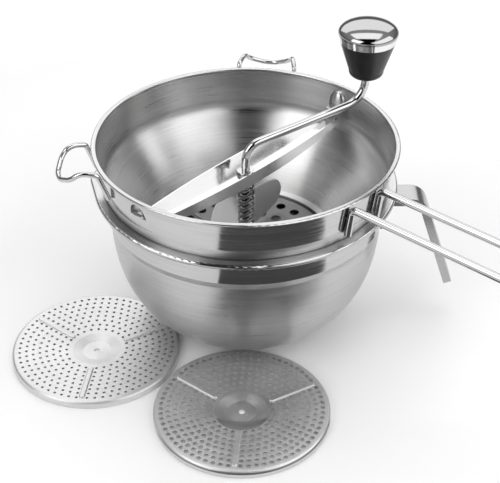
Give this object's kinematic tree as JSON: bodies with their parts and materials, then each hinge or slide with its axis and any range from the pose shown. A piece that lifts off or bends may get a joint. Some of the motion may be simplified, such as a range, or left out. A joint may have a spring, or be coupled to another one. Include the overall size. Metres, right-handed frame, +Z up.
{
  "type": "food mill",
  "caption": "Hand-cranked rotary food mill with a sprung blade under a cross bar, long wire handle and perforated discs, seated on a lipped collecting bowl.",
  "frame": {"origin": "centre of the bowl's flat base, on the surface it stands on", "axes": "+Z up along the crank shaft and the bowl's axis, -X towards the bowl's pouring lip, +X towards the bowl's handle"},
  "size_m": [0.4462, 0.3802, 0.2429],
  "materials": {
    "bowl_steel": "stainless steel, matte brushed round the body, polished band and rim",
    "handle_steel": "stainless steel, satin brushed",
    "rivet_steel": "stainless steel, polished",
    "hopper_steel": "stainless steel, finely brushed round the axis",
    "wire_steel": "stainless steel wire, polished",
    "disc_steel": "stainless steel sheet, satin",
    "bar_steel": "stainless steel, polished",
    "bushing_steel": "stainless steel, turned",
    "spring_steel": "stainless spring wire",
    "rod_steel": "stainless steel rod, polished",
    "blade_steel": "stainless steel sheet, satin",
    "grip_plastic": "black plastic, satin",
    "cap_chrome": "polished metal"
  },
  "bodies": {
    "bowl": {"bowl_shell": "bowl_steel", "bowl_handle": "handle_steel", "bowl_handle_rivets": "rivet_steel"},
    "hopper": {"hopper_shell": "hopper_steel", "long_handle": "wire_steel", "left_hook": "wire_steel", "back_hook": "wire_steel", "coarse_disc": "disc_steel"},
    "bridge": {"bridge_bar": "bar_steel", "bridge_bushing": "bushing_steel", "upper_spring_washer": "bushing_steel"},
    "spring_seat": {"lower_spring_washer": "bushing_steel", "spring": "spring_steel"},
    "crank": {"crank_rod": "rod_steel", "cross_pin": "rod_steel", "retaining_washer": "bushing_steel", "blade": "blade_steel", "blade_hub": "blade_steel", "knob_retainer": "bushing_steel"},
    "knob": {"knob_grip": "grip_plastic", "knob_sleeve": "rod_steel", "knob_cap": "cap_chrome"},
    "fine_disc_body": {"fine_disc": "disc_steel"},
    "medium_disc_body": {"medium_disc": "disc_steel"}
  },
  "joints": [
    {"name": "mill_lift", "type": "slide", "parent": "bowl", "child": "hopper", "axis": [0, 0, 1], "range_m": [0, 0.12]},
    {"name": "bridge_twist", "type": "hinge", "parent": "hopper", "child": "bridge", "pos_m": [0, 0, 0.14], "axis": [0, 0, 1], "range_deg": [0, 45]},
    {"name": "crank_float", "type": "slide", "parent": "bridge", "child": "spring_seat", "axis": [0, 0, 1], "range_m": [0, 0.005], "stiffness_N_per_m": 5000, "springref_m": -0.004, "deforming": ["spring"]},
    {"name": "crank_turn", "type": "hinge", "parent": "spring_seat", "child": "crank", "pos_m": [0, 0, 0.14], "axis": [0, 0, 1], "continuous": true},
    {"name": "knob_spin", "type": "hinge", "parent": "crank", "child": "knob", "pos_m": [0.09554, 0.0466, 0.21], "axis": [0, 0, 1], "continuous": true},
    {"name": "fine_disc_slide", "type": "slide", "parent": "bowl", "child": "fine_disc_body", "axis": [-0.9026, -0.4305, 0], "range_m": [0, 0.1]},
    {"name": "medium_disc_slide", "type": "slide", "parent": "bowl", "child": "medium_disc_body", "axis": [-0.0262, -0.9997, 0], "range_m": [0, 0.1]}
  ]
}
